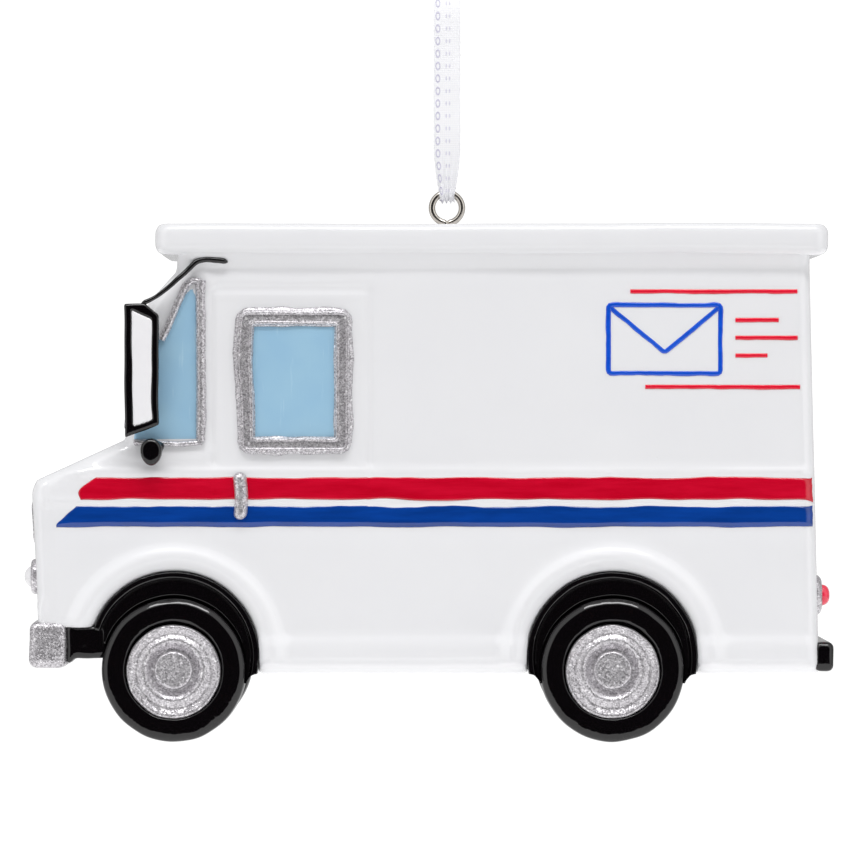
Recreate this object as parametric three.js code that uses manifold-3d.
// A hanging ornament in the shape of a mail step van, in millimetres, +Z up, the van's front towards -X.
// It is modelled from the ground line under its wheels, with x = 0 and y = 0 on the wire eye's axis, and the
// whole group is then lowered so that the row's origin is the inside top of the ribbon loop.
import * as THREE from "three";
import { mergeVertices } from "three/addons/utils/BufferGeometryUtils.js";
import Module from "manifold-3d";

const wasm = await Module();
wasm.setup();

// ---------- Driving dimensions ----------
const BOND = 0.1; // glue line between two bonded pieces

// Body casting
const LENGTH = 105.1; // nose to rear face
const NOSE_X = -55.5; // foremost point of the nose, ahead of the wire eye
const BODY_HEIGHT = 55.8; // sill to top
const BODY_WIDTH = 31.0;
const SILL_Z = 9.4; // lower edge between and behind the wheels
const REAR_LEAN = 1.3; // the rear face leans forward this much at its top
const HOOD_LENGTH = 12.5; // nose to foot of the windscreen
const HOOD_Z = 40.3; // foot of the windscreen
const HOOD_DROP = 5.4; // hood's front edge below its rear edge
const CAB_LEAN = 3.1; // the windscreen leans back this much
const BROW_RISE = 6.4; // slanted brow between windscreen and roof, in height
const BROW_RUN = 4.0; // and in length
const EDGE = 2.1; // rounding of the body's edges
const CORNER = 1.6; // rounding of the corners of its side outline
const WALL = 2.5; // casting's wall
const SIDE_RELIEF = 0.9; // how far the arch flares stand proud of the side
const SKIRT_RELIEF = 0.6; // how far the skirt roll stands proud
const SKIRT_HEIGHT = 3.6;
const FLARE_WIDTH = 2.6;
const HATCH_HALF = 6.4; // half the width of the opening under the body
const HATCH_FRONT = 6.0; // its front end behind the front axle
const HATCH_REAR = 9.0; // its rear end ahead of the rear face
const HATCH_LEDGE = 1.2; // width of the ledge that the underside plate sits on
const PLATE_THICKNESS = 1.3;

// Roof cap
const ROOF_THICKNESS = 4.2;
const ROOF_FRONT = 3.3; // overhang ahead of the body's top
const ROOF_REAR = 2.8; // overhang behind it
const ROOF_SIDE = 1.5; // overhang at each side
const ROOF_EDGE = 1.3; // rounding of its edges
const ROOF_CORNER = 2.6; // rounding of its corners in plan

// Wheels
const TYRE_RADIUS = 9.7;
const TYRE_WIDTH = 6.3;
const TYRE_SHOULDER = 1.3;
const HUB_RADIUS = 6.3;
const HUB_THICKNESS = 1.7;
const HUB_RECESS = 1.2; // depth of the tyre's recess that holds the hubcap
const CAP_RADIUS = 2.6;
const WHEEL_PROUD = 1.7; // tyre's outer face beyond the body's side
const ARCH_GAP = 1.8; // arch radius beyond the tyre's
const REAR_OVERHANG = 27.5; // rear axle to rear face
const ARCH_LIP = 1.0; // radial width of the arch's black lip
const LINER_BACK = 0.6; // thickness of the liner behind the tyre

// Bumpers
const BUMPER_LENGTH = 5.2;
const BUMPER_HEIGHT = 6.3;
const BUMPER_TOP_Z = 16.2;
const BUMPER_PROUD = 0.6; // ahead of the nose
const BUMPER_SIDE = 0.6; // beyond the body's sides
const BRACKET_LENGTH = 2.75; // clear length between bumper and arch
const BRACKET_HEIGHT = 4.6;
const BRACKET_DROP = 0.6; // bracket's top below the bumper's top
const REAR_BUMPER_LENGTH = 2.1;
const REAR_BUMPER_HEIGHT = 4.0;

// Lamps
const LAMP_Z = 22.1;
const LAMP_RADIUS = 2.2;
const LAMP_LENS = 1.6;
const LAMP_INSET = 4.5; // lamp's axis in from the body's side
const TAIL_Z = 19.6;
const TAIL_RADIUS = 2.8;
const TAIL_LENS = 1.6;
const TAIL_INSET = 4.4;
const SOCKET = 0.9; // depth of a lamp's socket in the casting

// Windows
const WAIST_Z = 38.9; // lower edge of the window frames
const WINDOW_HEAD = 7.0; // top of the door window's frame below the body's top
const DOOR_WINDOW_X = -28.2; // front edge of its frame
const DOOR_WINDOW_WIDTH = 15.5;
const FRAME_SIDE = 2.4;
const FRAME_BELOW = 1.5;
const FRAME_PROUD = 0.9;
const PANE_THICKNESS = 0.45;
const QUARTER_BAR = 1.3; // width of the quarter window's bars
const QUARTER_X = -32.8; // rear edge of its frame
const QUARTER_HEAD = 3.4; // its top below the body's top
const SCREEN_MARGIN = 2.6; // windscreen frame in from the body's side
const SCREEN_END = 1.4; // windscreen frame in from each end of its slope
const SCREEN_BAR = 1.5;
const GRILLE_WIDTH = 15.0;
const GRILLE_HEIGHT = 6.0;
const GRILLE_SLOTS = 4;

// Door handle
const HANDLE_X = -27.7;
const HANDLE_Z = 33.0;
const HANDLE_HEIGHT = 6.4;
const HANDLE_WIDTH = 1.9;
const HANDLE_PROUD = 1.4;

// Mirrors
const MIRROR_X = -43.3; // front edge
const MIRROR_WIDTH = 4.8;
const MIRROR_Z = 40.9; // lowest corner
const MIRROR_RIM = 0.9;
const MIRROR_THICKNESS = 1.1;
const MIRROR_OUT = 1.8; // its inner face beyond the body's side
const ARM_DIAMETER = 0.95;
const KNOB_HEIGHT = 3.8;
const KNOB_WIDTH = 3.1;
const KNOB_DEPTH = 2.9;

// Wire eye, ribbon and knot
const RING_DIAMETER = 5.0;
const WIRE = 0.9;
const RING_RISE = 0.15; // ring's underside above the roof
const SHANK_RADIUS = 0.6;
const SHANK_REACH = 1.2; // how far it goes past the casting's top wall
const RIBBON_WIDTH = 3.6;
const RIBBON_THICKNESS = 0.5;
const FOLD_RADIUS = 1.1; // middle of the ribbon round the ring's wire
const FOLD_WIDTH = 2.0; // ribbon's width where it is bunched through the ring
const LOOP_RISE = 28.0; // inside top of the loop above the ring's top wire
const LOOP_SPREAD = 2.6; // half the gap between the strands near the top
const KNOT_RADIUS = 2.3;

// ---------- Places worked out from them ----------
const HALF = BODY_WIDTH / 2;
const REAR_X = NOSE_X + LENGTH;
const TOP_Z = SILL_Z + BODY_HEIGHT;
const SCREEN_FOOT_X = NOSE_X + HOOD_LENGTH;
const BROW_X = SCREEN_FOOT_X + CAB_LEAN;
const BROW_Z = TOP_Z - BROW_RISE;
const CAB_TOP_X = BROW_X + BROW_RUN;
const BODY_TOP_REAR_X = REAR_X - REAR_LEAN;
const HOOD_FRONT_Z = HOOD_Z - HOOD_DROP;
const NOSE_SILL_Z = BUMPER_TOP_Z + BOND;
const ROOF_Z = TOP_Z + BOND;
const ROOF_TOP_Z = ROOF_Z + ROOF_THICKNESS;
const ARCH_RADIUS = TYRE_RADIUS + ARCH_GAP;
const ARCH_Z = TYRE_RADIUS + ARCH_GAP;
const BUMPER_X = NOSE_X - BUMPER_PROUD;
const BUMPER_BACK_X = BUMPER_X + BUMPER_LENGTH;
const AXLE_X = [BUMPER_BACK_X + BRACKET_LENGTH + ARCH_RADIUS, REAR_X - REAR_OVERHANG];
const HATCH_X = [AXLE_X[0] + HATCH_FRONT, REAR_X - HATCH_REAR];
const WHEEL_FACE = HALF + WHEEL_PROUD; // distance of the tyres' outer faces from the middle plane
const WELL_FACE = WHEEL_FACE - TYRE_WIDTH - LINER_BACK - 2 * BOND; // wheel well's inner wall
const RING_RADIUS = (RING_DIAMETER - WIRE) / 2;
const RING_Z = ROOF_TOP_Z + RING_RISE + RING_DIAMETER / 2;
const PIVOT_Z = RING_Z + RING_RADIUS; // middle of the wire that the ribbon hangs on
const HANG_Z = PIVOT_Z + LOOP_RISE; // row's origin
const ENDS = ["front", "rear"];
const SIDES = { left: 1, right: -1 }; // the left side is modelled at -Y and the right one mirrors it

// ---------- Materials ----------
const paint = (color, roughness, metalness = 0) =>
  new THREE.MeshStandardMaterial({ color, roughness, metalness });
const white = paint(0xe9e9ec, 0.12);
const black = paint(0x060406, 0.08);
const silver = paint(0xa8a6a8, 0.4, 0.5);
const blue = paint(0x93bbd6, 0.2);
const pale = paint(0xe6e6e8, 0.15);
const red = paint(0xff3355, 0.15);
const steel = paint(0x9a9a98, 0.25, 1);
const cloth = paint(0xf4f4f6, 0.8);

// ---------- Shapes ----------
// A closed outline whose corners are rounded, each by at most a third of its shorter side.
function rounded(points, radius, Path = THREE.Shape) {
  const corner = points.map(([x, y]) => new THREE.Vector2(x, y));
  const path = new Path();
  corner.forEach((p, i) => {
    const before = corner.at(i - 1);
    const after = corner[(i + 1) % corner.length];
    const cut = Math.min(radius, p.distanceTo(before) / 3, p.distanceTo(after) / 3);
    const start = p.clone().lerp(before, cut / p.distanceTo(before));
    const end = p.clone().lerp(after, cut / p.distanceTo(after));
    if (i) path.lineTo(start.x, start.y);
    else path.moveTo(start.x, start.y);
    path.quadraticCurveTo(p.x, p.y, end.x, end.y);
  });
  path.closePath();
  return path;
}

const rectangle = (x0, x1, y0, y1) => [[x0, y0], [x1, y0], [x1, y1], [x0, y1]];

// The outline moved inwards by a distance, each side parallel to itself. Its points run anticlockwise.
function inset(points, distance) {
  const corner = points.map(([x, y]) => new THREE.Vector2(x, y));
  const along = (i) => corner[(i + 1) % corner.length].clone().sub(corner.at(i)).normalize();
  return corner.map((p, i) => {
    const [u, v] = [along(i - 1), along(i)];
    const turn = u.cross(v);
    const shift = Math.abs(turn) < 1e-6 ? 0 : (distance * (u.dot(v) - 1)) / turn;
    return [p.x - u.y * distance + u.x * shift, p.y + u.x * distance + u.y * shift];
  });
}

// A plate on the plane z = 0, its outline's corners rounded in plan and its edges rounded inside the outline.
function plate(points, thickness, corner = 0, edge = 0, steps = edge ? 2 : 0) {
  const layers = [];
  const addLayer = (angle, z) => {
    const outline = rounded(inset(points, edge * (1 - Math.cos(angle))), corner).getPoints(corner ? 3 : 1);
    const unique = outline.filter((p, i) => p.distanceTo(outline.at(i - 1)) > 1e-6);
    layers.push(unique.map((p) => [p.x, p.y, z]));
  };
  for (let i = steps; i >= 0; i--) {
    const angle = steps ? (i / steps) * (Math.PI / 2) : 0;
    addLayer(angle, edge * (1 - Math.sin(angle)));
  }
  for (let i = 0; i <= steps; i++) {
    const angle = steps ? (i / steps) * (Math.PI / 2) : 0;
    addLayer(angle, thickness - edge * (1 - Math.sin(angle)));
  }
  return lofted(layers);
}

// A closed solid through layers of equally many points, with flat ends.
function lofted(layers) {
  const count = layers[0].length;
  const index = [];
  for (let j = 1; j < layers.length; j++) {
    for (let i = 0; i < count; i++) {
      const [a, b] = [(j - 1) * count + i, (j - 1) * count + ((i + 1) % count)];
      index.push(a, b, b + count, a, b + count, a + count);
    }
  }
  const cap = (layer) => THREE.ShapeUtils.triangulateShape(layer.map(([x, y]) => new THREE.Vector2(x, y)), []);
  for (const [a, b, c] of cap(layers[0])) index.push(a, c, b);
  const last = (layers.length - 1) * count;
  for (const [a, b, c] of cap(layers.at(-1))) index.push(last + a, last + b, last + c);
  const geometry = new THREE.BufferGeometry();
  geometry.setAttribute("position", new THREE.Float32BufferAttribute(layers.flat(2), 3));
  geometry.setIndex(index);
  return geometry.toNonIndexed();
}

// A flat frame on the plane z = 0: an outline with holes, its edges slightly rounded.
function frame(points, corner, holes, thickness, edge = 0.25) {
  const shape = rounded(points, corner);
  shape.holes = holes.map((hole) => rounded(hole, 0.5, THREE.Path));
  const bevel = { bevelThickness: edge, bevelSize: edge, bevelOffset: -edge, bevelSegments: 1 };
  const depth = thickness - 2 * edge;
  return new THREE.ExtrudeGeometry(shape, { depth, ...bevel, curveSegments: 2 }).translate(0, 0, edge);
}

// Stands a plate drawn in x and z upright on the left side, its inner face at the distance y from the middle plane.
const upright = (geometry, y) => geometry.rotateX(Math.PI / 2).translate(0, -y, 0);
const across = (points, y0, y1, corner, edge, steps) => upright(plate(points, y1 - y0, corner, edge, steps), y0);

// A solid of revolution about Y whose profile of [radius, distance] runs outwards along -Y.
function turned(profile, segments = 32) {
  const points = profile.map(([r, d]) => new THREE.Vector2(r, d));
  return new THREE.LatheGeometry(points, segments).rotateX(Math.PI);
}

// The same, about X: towards -X for the front and towards +X for the rear.
const facing = (profile, direction, segments = 18) =>
  turned(profile, segments).rotateZ(direction < 0 ? -Math.PI / 2 : Math.PI / 2);

const disc = (radius, y0, y1, segments = 40) =>
  turned([[0, y0], [radius, y0], [radius, y1], [0, y1]], segments);

const block = (x0, x1, y0, y1, z0, z1) =>
  new THREE.BoxGeometry(x1 - x0, y1 - y0, z1 - z0).translate((x0 + x1) / 2, (y0 + y1) / 2, (z0 + z1) / 2);

// A round bar along a smooth curve through the points.
function bar(points, diameter, steps) {
  const circle = new THREE.Shape().absarc(0, 0, diameter / 2, 0, 2 * Math.PI);
  const extrudePath = new THREE.CatmullRomCurve3(points.map((p) => new THREE.Vector3(...p)));
  return new THREE.ExtrudeGeometry(circle, { steps, extrudePath, curveSegments: 8, bevelEnabled: false });
}

// ---------- Solids ----------
function solid(geometry) {
  const plain = geometry.clone();
  plain.deleteAttribute("normal");
  plain.deleteAttribute("uv");
  const merged = mergeVertices(plain, 1e-4);
  return new wasm.Manifold(
    new wasm.Mesh({
      numProp: 3,
      vertProperties: new Float32Array(merged.attributes.position.array),
      triVerts: new Uint32Array(merged.index.array),
    }),
  );
}

function surface(manifold) {
  const mesh = manifold.getMesh();
  const geometry = new THREE.BufferGeometry();
  geometry.setAttribute("position", new THREE.BufferAttribute(mesh.vertProperties, 3));
  geometry.setIndex(new THREE.BufferAttribute(mesh.triVerts, 1));
  geometry.computeVertexNormals();
  return geometry;
}

const joined = (...geometries) => geometries.map(solid).reduce((a, b) => a.add(b));
const mirrored = (manifold) => manifold.mirror([0, 1, 0]);
const bothSides = (manifold) => manifold.add(mirrored(manifold));

// ---------- Assembly ----------
const truck = new THREE.Group();
truck.position.z = -HANG_Z;

function add(name, geometry, material, group = truck) {
  const mesh = new THREE.Mesh(geometry, material);
  mesh.name = name;
  group.add(mesh);
  return mesh;
}

// ---------- Body casting ----------
// The side outline, from the rear of the sill round over the roof line to the nose and back.
const sideOutline = [
  [REAR_X, SILL_Z],
  [BODY_TOP_REAR_X, TOP_Z],
  [CAB_TOP_X, TOP_Z],
  [BROW_X, BROW_Z],
  [SCREEN_FOOT_X, HOOD_Z],
  [NOSE_X + 0.9, HOOD_FRONT_Z],
  [NOSE_X, (HOOD_FRONT_Z + NOSE_SILL_Z) / 2],
  [NOSE_X + 0.7, NOSE_SILL_Z],
  [AXLE_X[0], NOSE_SILL_Z],
  [AXLE_X[0], SILL_Z],
];

// Rolls and flares on one side, cut to the side outline.
function sideRelief() {
  const rolls = AXLE_X.map((x) =>
    new THREE.TorusGeometry(ARCH_RADIUS + FLARE_WIDTH / 2, FLARE_WIDTH / 2, 8, 36)
      .rotateX(Math.PI / 2)
      .translate(x, FLARE_WIDTH / 2 - HALF - SIDE_RELIEF, ARCH_Z),
  );
  const skirt = rectangle(AXLE_X[0], REAR_X, SILL_Z, SILL_Z + SKIRT_HEIGHT);
  rolls.push(across(skirt, HALF - EDGE, HALF + SKIRT_RELIEF, SKIRT_HEIGHT / 4, SKIRT_RELIEF, 3));
  const within = solid(across(sideOutline, 0, HALF + FLARE_WIDTH, CORNER));
  return joined(...rolls).intersect(within);
}

// The space inside, kept a wall's thickness clear of the wheel wells.
function cavity() {
  const inner = across(inset(sideOutline, WALL), WALL - HALF, HALF - WALL, CORNER, EDGE / 2);
  const wells = AXLE_X.map((x) => disc(ARCH_RADIUS + WALL, WELL_FACE - WALL, HALF, 24).translate(x, 0, ARCH_Z));
  return solid(inner).subtract(bothSides(joined(...wells)));
}

function hatchOpening() {
  const ledge = block(...HATCH_X, -HATCH_HALF, HATCH_HALF, SILL_Z - 1, SILL_Z + PLATE_THICKNESS + BOND);
  const mouth = block(
    HATCH_X[0] + HATCH_LEDGE,
    HATCH_X[1] - HATCH_LEDGE,
    HATCH_LEDGE - HATCH_HALF,
    HATCH_HALF - HATCH_LEDGE,
    SILL_Z,
    SILL_Z + WALL + 1,
  );
  return joined(ledge, mouth);
}

function lampSockets() {
  const front = facing([[0, 0], [LAMP_RADIUS + BOND, 0], [LAMP_RADIUS + BOND, 4], [0, 4]], -1);
  const rear = facing([[0, 0], [TAIL_RADIUS + BOND, 0], [TAIL_RADIUS + BOND, 4], [0, 4]], 1);
  front.translate(NOSE_X + SOCKET, LAMP_INSET - HALF, LAMP_Z);
  rear.translate(REAR_X - SOCKET, TAIL_INSET - HALF, TAIL_Z);
  return bothSides(joined(front, rear));
}

// One hole for the eye's shank, through the roof cap and the casting's top wall.
function shankHole() {
  const radius = SHANK_RADIUS + BOND;
  const hole = new THREE.CylinderGeometry(radius, radius, 4 * (ROOF_THICKNESS + WALL), 16);
  return solid(hole.rotateX(Math.PI / 2).translate(0, 0, TOP_Z));
}

function bodyCasting() {
  const shell = solid(across(sideOutline, -HALF, HALF, CORNER, EDGE, 3));
  const wells = AXLE_X.map((x) => disc(ARCH_RADIUS, WELL_FACE, HALF + FLARE_WIDTH).translate(x, 0, ARCH_Z));
  return shell
    .add(bothSides(sideRelief()))
    .subtract(bothSides(joined(...wells)))
    .subtract(cavity())
    .subtract(hatchOpening())
    .subtract(lampSockets())
    .subtract(shankHole());
}

add("body_casting", surface(bodyCasting()), white);

const cover = rectangle(HATCH_X[0] + BOND, HATCH_X[1] - BOND, BOND - HATCH_HALF, HATCH_HALF - BOND);
add("underside_plate", plate(cover, PLATE_THICKNESS).translate(0, 0, SILL_Z), white);

// ---------- Roof cap ----------
function roofCap() {
  const plan = rectangle(CAB_TOP_X - ROOF_FRONT, BODY_TOP_REAR_X + ROOF_REAR, -HALF - ROOF_SIDE, HALF + ROOF_SIDE);
  const slab = plate(plan, ROOF_THICKNESS, ROOF_CORNER, ROOF_EDGE, 3).translate(0, 0, ROOF_Z);
  return solid(slab).subtract(shankHole());
}

add("roof_cap", surface(roofCap()), white);

// ---------- Wheels and arches ----------
const tyreProfile = [
  [0, 0],
  [TYRE_RADIUS, 0],
  [TYRE_RADIUS, TYRE_WIDTH - TYRE_SHOULDER],
  [TYRE_RADIUS - 0.3 * TYRE_SHOULDER, TYRE_WIDTH - 0.3 * TYRE_SHOULDER],
  [TYRE_RADIUS - TYRE_SHOULDER, TYRE_WIDTH],
  [HUB_RADIUS + BOND, TYRE_WIDTH],
  [HUB_RADIUS + BOND, TYRE_WIDTH - HUB_RECESS],
  [0, TYRE_WIDTH - HUB_RECESS],
];
const hubProfile = [
  [0, 0],
  [HUB_RADIUS, 0],
  [HUB_RADIUS, HUB_THICKNESS - 0.3],
  [HUB_RADIUS - 0.4, HUB_THICKNESS],
  [HUB_RADIUS - 0.8, HUB_THICKNESS],
  [HUB_RADIUS - 1.5, HUB_THICKNESS - 0.7],
  [CAP_RADIUS + 0.4, HUB_THICKNESS - 0.8],
  [CAP_RADIUS, HUB_THICKNESS - 0.2],
  [CAP_RADIUS - 0.5, HUB_THICKNESS + 0.1],
  [0, HUB_THICKNESS + 0.1],
];

// The black lining of a wheel well: a lip round the arch and a wall behind the tyre, open below.
function archLiner(front) {
  const outer = disc(ARCH_RADIUS - BOND, WELL_FACE + BOND, HALF + 0.4).translate(0, 0, ARCH_Z);
  const hollow = disc(ARCH_RADIUS - ARCH_LIP, WELL_FACE + BOND + LINER_BACK, HALF + 2).translate(0, 0, ARCH_Z);
  const wide = 2 * ARCH_RADIUS;
  const below = block(-wide, wide, -2 * HALF, 0, ARCH_Z - wide, SILL_Z);
  const ahead = block(-wide, -TYRE_RADIUS / 2, -2 * HALF, 0, ARCH_Z - wide, NOSE_SILL_Z);
  const lining = solid(outer).subtract(solid(hollow)).subtract(solid(below));
  return surface(front ? lining.subtract(solid(ahead)) : lining);
}

function wheels(side, group) {
  ENDS.forEach((end, i) => {
    const corner = new THREE.Group();
    corner.position.x = AXLE_X[i];
    group.add(corner);
    const inner = WHEEL_FACE - TYRE_WIDTH;
    add(`${end}_${side}_arch`, archLiner(end === "front"), black, corner);
    add(`${end}_${side}_tyre`, turned(tyreProfile).translate(0, -inner, TYRE_RADIUS), black, corner);
    const seat = WHEEL_FACE - HUB_RECESS + BOND;
    add(`${end}_${side}_hubcap`, turned(hubProfile).translate(0, -seat, TYRE_RADIUS), silver, corner);
  });
}

// ---------- Bumpers ----------
function bumpers() {
  const front = rectangle(BUMPER_X, BUMPER_BACK_X, BUMPER_TOP_Z - BUMPER_HEIGHT, BUMPER_TOP_Z);
  const end = HALF + BUMPER_SIDE;
  add("front_bumper", across(front, -end, end, 1.2, 1.0, 3), silver);
  const back = REAR_X + BOND;
  const rear = rectangle(back, back + REAR_BUMPER_LENGTH, SILL_Z, SILL_Z + REAR_BUMPER_HEIGHT);
  add("rear_bumper", across(rear, -HALF, HALF, 0.6, 0.6), black);
}

// It runs back from the bumper and ends on the tyre's round edge.
function bumperBracket() {
  const top = BUMPER_TOP_Z - BRACKET_DROP;
  const outline = rectangle(BUMPER_BACK_X + BOND, AXLE_X[0] - TYRE_RADIUS / 2, top - BRACKET_HEIGHT, top);
  const arm = across(outline, WHEEL_FACE - TYRE_WIDTH, HALF - 0.3, 0.4, 0.3);
  const round = disc(TYRE_RADIUS + BOND, 0, 2 * HALF).translate(AXLE_X[0], 0, TYRE_RADIUS);
  return surface(solid(arm).subtract(solid(round)));
}

// ---------- Lamps ----------
function lamp(names, radius, lens, direction, place, group) {
  const proud = SOCKET + 0.7;
  const bezel = [[0, 0], [radius, 0], [radius, proud - 0.3], [radius - 0.3, proud], [lens + BOND, proud]];
  bezel.push([lens + BOND, proud - 0.6], [0, proud - 0.6]);
  const dome = [[0, 0], [lens, 0], [lens, 0.5], [0.8 * lens, 1.1], [0.45 * lens, 1.5], [0, 1.65]];
  const seat = place.clone().setX(place.x + direction * BOND);
  const front = place.clone().setX(place.x + direction * (proud - 0.6 + 2 * BOND));
  add(names[0], facing(bezel, direction).translate(...seat.toArray()), silver, group);
  add(names[1], facing(dome, direction).translate(...front.toArray()), direction < 0 ? pale : red, group);
}

function lamps(side, group) {
  const head = new THREE.Vector3(NOSE_X + SOCKET, LAMP_INSET - HALF, LAMP_Z);
  const tail = new THREE.Vector3(REAR_X - SOCKET, TAIL_INSET - HALF, TAIL_Z);
  lamp([`${side}_headlamp_bezel`, `${side}_headlamp_lens`], LAMP_RADIUS, LAMP_LENS, -1, head, group);
  lamp([`${side}_tail_lamp_bezel`, `${side}_tail_lamp_lens`], TAIL_RADIUS, TAIL_LENS, 1, tail, group);
}

// ---------- Side windows ----------
// A frame with a hole and the pane that fills the hole, both lying on the side.
function framed(names, outer, inner, group) {
  const seat = HALF + BOND;
  const clear = solid(knobBall(3 * BOND));
  const bars = solid(upright(frame(outer, 1, [inner(0)], FRAME_PROUD), seat)).subtract(clear);
  add(names[0], surface(bars), silver, group);
  add(names[1], upright(plate(inner(BOND), PANE_THICKNESS, 0.5), seat), blue, group);
}

function doorWindow(side, group) {
  const rear = DOOR_WINDOW_X + DOOR_WINDOW_WIDTH;
  const top = TOP_Z - WINDOW_HEAD;
  const outer = rectangle(DOOR_WINDOW_X, rear, WAIST_Z, top);
  const inner = (gap) =>
    rectangle(
      DOOR_WINDOW_X + FRAME_SIDE + gap,
      rear - FRAME_SIDE - gap,
      WAIST_Z + FRAME_BELOW + gap,
      top - FRAME_SIDE - gap,
    );
  framed([`${side}_door_window_frame`, `${side}_door_window_pane`], outer, inner, group);
}

// The window between door and windscreen follows the lean of the cab's front.
function quarterWindow(side, group) {
  const top = TOP_Z - QUARTER_HEAD;
  const foot = WAIST_Z + 0.9;
  const front = (z) => SCREEN_FOOT_X + 0.6 + (CAB_LEAN * (z - HOOD_Z)) / (BROW_Z - HOOD_Z);
  const waist = foot + 0.55 * (top - foot);
  const outer = [[QUARTER_X, foot], [QUARTER_X, top], [QUARTER_X - 1.9, top]];
  outer.push([front(waist) + 0.6, waist], [front(foot), foot]);
  const inner = (gap) => [
    [QUARTER_X - QUARTER_BAR - gap, foot + 0.6 + gap],
    [QUARTER_X - QUARTER_BAR - gap, top - 1.4 - 3 * gap],
    [front(waist) + 1.7 + gap, waist - gap],
    [front(foot) + 1.3 + gap, foot + 0.6 + gap],
  ];
  framed([`${side}_quarter_window_frame`, `${side}_quarter_window_pane`], outer, inner, group);
}

// ---------- Front: windscreen and grille, each on its own sloping face ----------
// A group whose local x runs to the left side, local y up the slope and local z out of the face.
function slopingFace(low, high) {
  const up = new THREE.Vector3(high[0] - low[0], 0, high[1] - low[1]).normalize();
  const left = new THREE.Vector3(0, -1, 0);
  const out = left.clone().cross(up);
  const group = new THREE.Group();
  group.quaternion.setFromRotationMatrix(new THREE.Matrix4().makeBasis(left, up, out));
  group.position.set((low[0] + high[0]) / 2, 0, (low[1] + high[1]) / 2).addScaledVector(out, 3 * BOND);
  truck.add(group);
  return group;
}

function windscreen() {
  const face = slopingFace([SCREEN_FOOT_X, HOOD_Z], [BROW_X, BROW_Z]);
  const w = HALF - SCREEN_MARGIN;
  const h = Math.hypot(CAB_LEAN, BROW_Z - HOOD_Z) / 2 - SCREEN_END;
  const inner = (gap) => rectangle(gap - w, w - gap, gap - h, h - gap);
  add("windscreen_frame", frame(inner(0), 1.2, [inner(SCREEN_BAR)], FRAME_PROUD), silver, face);
  add("windscreen_pane", plate(inner(SCREEN_BAR + BOND), PANE_THICKNESS, 0.5), blue, face);
}

function grille() {
  const face = slopingFace([NOSE_X, (HOOD_FRONT_Z + NOSE_SILL_Z) / 2], [NOSE_X + 0.9, HOOD_FRONT_Z]);
  const w = GRILLE_WIDTH / 2;
  const h = GRILLE_HEIGHT / 2;
  const slots = [];
  const pitch = (GRILLE_HEIGHT - 1.2) / GRILLE_SLOTS;
  for (let i = 0; i < GRILLE_SLOTS; i++) {
    const low = 0.6 - h + i * pitch + 0.2 * pitch;
    slots.push(rectangle(1 - w, w - 1, low, low + 0.6 * pitch));
  }
  add("grille", frame(rectangle(-w, w, -h, h), 0.8, slots, 0.8, 0.1), silver, face);
}

// ---------- Door handle ----------
function doorHandle() {
  const [w, h] = [HANDLE_WIDTH / 2, HANDLE_HEIGHT / 2];
  const outline = rectangle(HANDLE_X - w, HANDLE_X + w, HANDLE_Z - h, HANDLE_Z + h);
  return across(outline, HALF + BOND, HALF + BOND + HANDLE_PROUD, 0.9 * w, 0.4);
}

// ---------- Mirror ----------
const mirrorTop = BROW_Z - BOND; // level with the foot of the brow
const mirrorOutline = (inset) => [
  [MIRROR_X + inset, MIRROR_Z + 1.6 * inset],
  [MIRROR_X + MIRROR_WIDTH - inset, MIRROR_Z + 2.6 + inset],
  [MIRROR_X + MIRROR_WIDTH - inset, mirrorTop - 1.5 - inset],
  [MIRROR_X + inset, mirrorTop - 0.4 * inset],
];

function mirror(side, group) {
  const inner = HALF + MIRROR_OUT;
  const face = inner + MIRROR_THICKNESS;
  const frame = solid(across(mirrorOutline(0), inner, face, 0.5, 0.2));
  const pocket = solid(across(mirrorOutline(MIRROR_RIM), face - 0.5, face + 1, 0.2));
  add(`${side}_mirror_frame`, surface(frame.subtract(pocket)), black, group);
  const glass = across(mirrorOutline(MIRROR_RIM + BOND), face - 0.5 + BOND, face - BOND, 0.2);
  add(`${side}_mirror_face`, glass, pale, group);
  add(`${side}_mirror_arm`, mirrorArm(), black, group);
  add(`${side}_mirror_knob`, surface(mirrorKnob()), black, group);
}

// From the side just under the roof, forward and down to the mirror's top edge.
function mirrorArm() {
  const r = ARM_DIAMETER / 2;
  const z = TOP_Z - 1.1;
  const out = HALF + MIRROR_OUT + MIRROR_THICKNESS / 2;
  const end = mirrorTop + r;
  return bar(
    [
      [CAB_TOP_X + 6.6, -(HALF + BOND + r), z],
      [CAB_TOP_X + 3, -(HALF + BOND + r), z],
      [CAB_TOP_X + 0.8, -(HALF + 0.2 * MIRROR_OUT + r), z - 0.5],
      [(CAB_TOP_X + MIRROR_X + 2) / 2, -(HALF + 0.7 * MIRROR_OUT + r), (z + end) / 2],
      [MIRROR_X + 3.4, -out, end + 0.7],
      [MIRROR_X + 0.6, -out, end + BOND + 0.15],
    ],
    ARM_DIAMETER,
    12,
  );
}

const knobX = MIRROR_X + 3.7;
const knobZ = MIRROR_Z - 0.2 - KNOB_HEIGHT / 2;

function knobBall(extra = 0) {
  const depth = KNOB_DEPTH / 2;
  return new THREE.SphereGeometry(1, 14, 10)
    .scale(KNOB_WIDTH / 2 + extra, depth + extra, KNOB_HEIGHT / 2 + extra)
    .translate(knobX, -(HALF + BOND + depth), knobZ);
}

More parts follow.
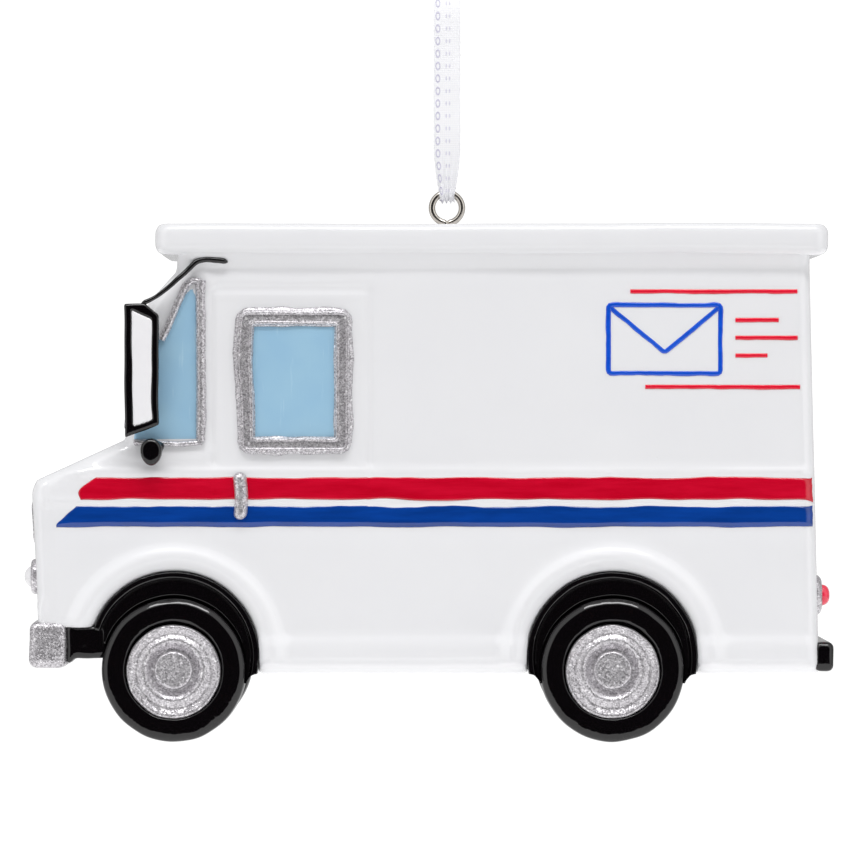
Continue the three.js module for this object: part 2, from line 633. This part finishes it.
// The egg on the side, with a short stem up to the mirror's slanted lower edge.
function mirrorKnob() {
  const reach = MIRROR_Z + 2.6 * (3.7 / MIRROR_WIDTH) - 3 * BOND;
  const stem = new THREE.CylinderGeometry(0.35, 0.35, reach - knobZ, 10).rotateX(Math.PI / 2);
  stem.translate(knobX, -(HALF + MIRROR_OUT + MIRROR_THICKNESS / 2), (reach + knobZ) / 2);
  return joined(knobBall(), stem);
}

bumpers();
windscreen();
grille();
for (const [side, flip] of Object.entries(SIDES)) {
  const group = new THREE.Group();
  group.scale.y = flip;
  truck.add(group);
  wheels(side, group);
  add(`${side}_bumper_bracket`, bumperBracket(), black, group);
  lamps(side, group);
  doorWindow(side, group);
  quarterWindow(side, group);
  add(`${side}_door_handle`, doorHandle(), silver, group);
  mirror(side, group);
}

// ---------- Wire eye ----------
function wireEye() {
  const ring = new THREE.TorusGeometry(RING_RADIUS, WIRE / 2, 8, 24).rotateX(Math.PI / 2).translate(0, 0, RING_Z);
  const top = RING_Z - RING_RADIUS;
  const foot = TOP_Z - WALL - SHANK_REACH;
  const shank = new THREE.CylinderGeometry(SHANK_RADIUS, SHANK_RADIUS, top - foot, 12).rotateX(Math.PI / 2);
  shank.translate(0, 0, (top + foot) / 2);
  return joined(ring, shank);
}

add("wire_eye", surface(wireEye()), steel);

// ---------- Ribbon loop and knot ----------
// From the knot down one strand, through the ring and up the other, in the plane x = 0.
const knotFoot = HANG_Z - 0.2;
const strand = [
  [-1.1, knotFoot],
  [-0.8 * LOOP_SPREAD, knotFoot - 1.2],
  [-LOOP_SPREAD, knotFoot - 3.4],
  [-0.75 * LOOP_SPREAD, PIVOT_Z + 0.6 * LOOP_RISE],
  [-0.5 * LOOP_SPREAD - 0.15, PIVOT_Z + 0.25 * LOOP_RISE],
  [-FOLD_RADIUS, PIVOT_Z + 1],
];
const fold = [-150, -120, -90, -60, -30].map((a) => {
  const t = THREE.MathUtils.degToRad(a);
  return [FOLD_RADIUS * Math.cos(t), PIVOT_Z + FOLD_RADIUS * Math.sin(t)];
});
const route = [...strand, [-FOLD_RADIUS, PIVOT_Z], ...fold, [FOLD_RADIUS, PIVOT_Z]];
route.push(...strand.map(([y, z]) => [-y, z]).reverse());

function ribbonLoop() {
  const section = new THREE.Shape();
  const [w, t] = [RIBBON_WIDTH / 2, RIBBON_THICKNESS / 2];
  section.moveTo(w, -0.4 * t);
  for (const [x, y] of [[w, 0.4], [0.9 * w, 1], [-0.9 * w, 1], [-w, 0.4], [-w, -0.4], [-0.9 * w, -1], [0.9 * w, -1]]) {
    section.lineTo(x, y * t);
  }
  const extrudePath = new THREE.CatmullRomCurve3(route.map(([y, z]) => new THREE.Vector3(0, y, z)));
  const geometry = new THREE.ExtrudeGeometry(section, { steps: 48, extrudePath, bevelEnabled: false });
  const position = geometry.attributes.position;
  for (let i = 0; i < position.count; i++) {
    const height = THREE.MathUtils.clamp((position.getZ(i) - PIVOT_Z - 0.6) / 5, 0, 1);
    const share = FOLD_WIDTH / RIBBON_WIDTH;
    position.setX(i, position.getX(i) * (share + (1 - share) * Math.sin((height * Math.PI) / 2)));
  }
  return geometry;
}

function ribbonKnot() {
  const z = HANG_Z + 0.1 + KNOT_RADIUS * 0.8;
  const lump = new THREE.SphereGeometry(1, 14, 9).scale(KNOT_RADIUS, KNOT_RADIUS, 0.8 * KNOT_RADIUS).translate(0, 0, z);
  const tails = [-1, 1].map((s) =>
    new THREE.BoxGeometry(RIBBON_WIDTH * 0.9, RIBBON_THICKNESS, 6)
      .translate(0, 0, 3)
      .rotateX(-0.28 * s)
      .rotateZ(0.3 * s)
      .translate(0, 0.5 * s, z + 0.4),
  );
  return joined(lump, ...tails);
}

add("ribbon_loop", ribbonLoop(), cloth);
add("ribbon_knot", surface(ribbonKnot()), cloth);

export default truck;
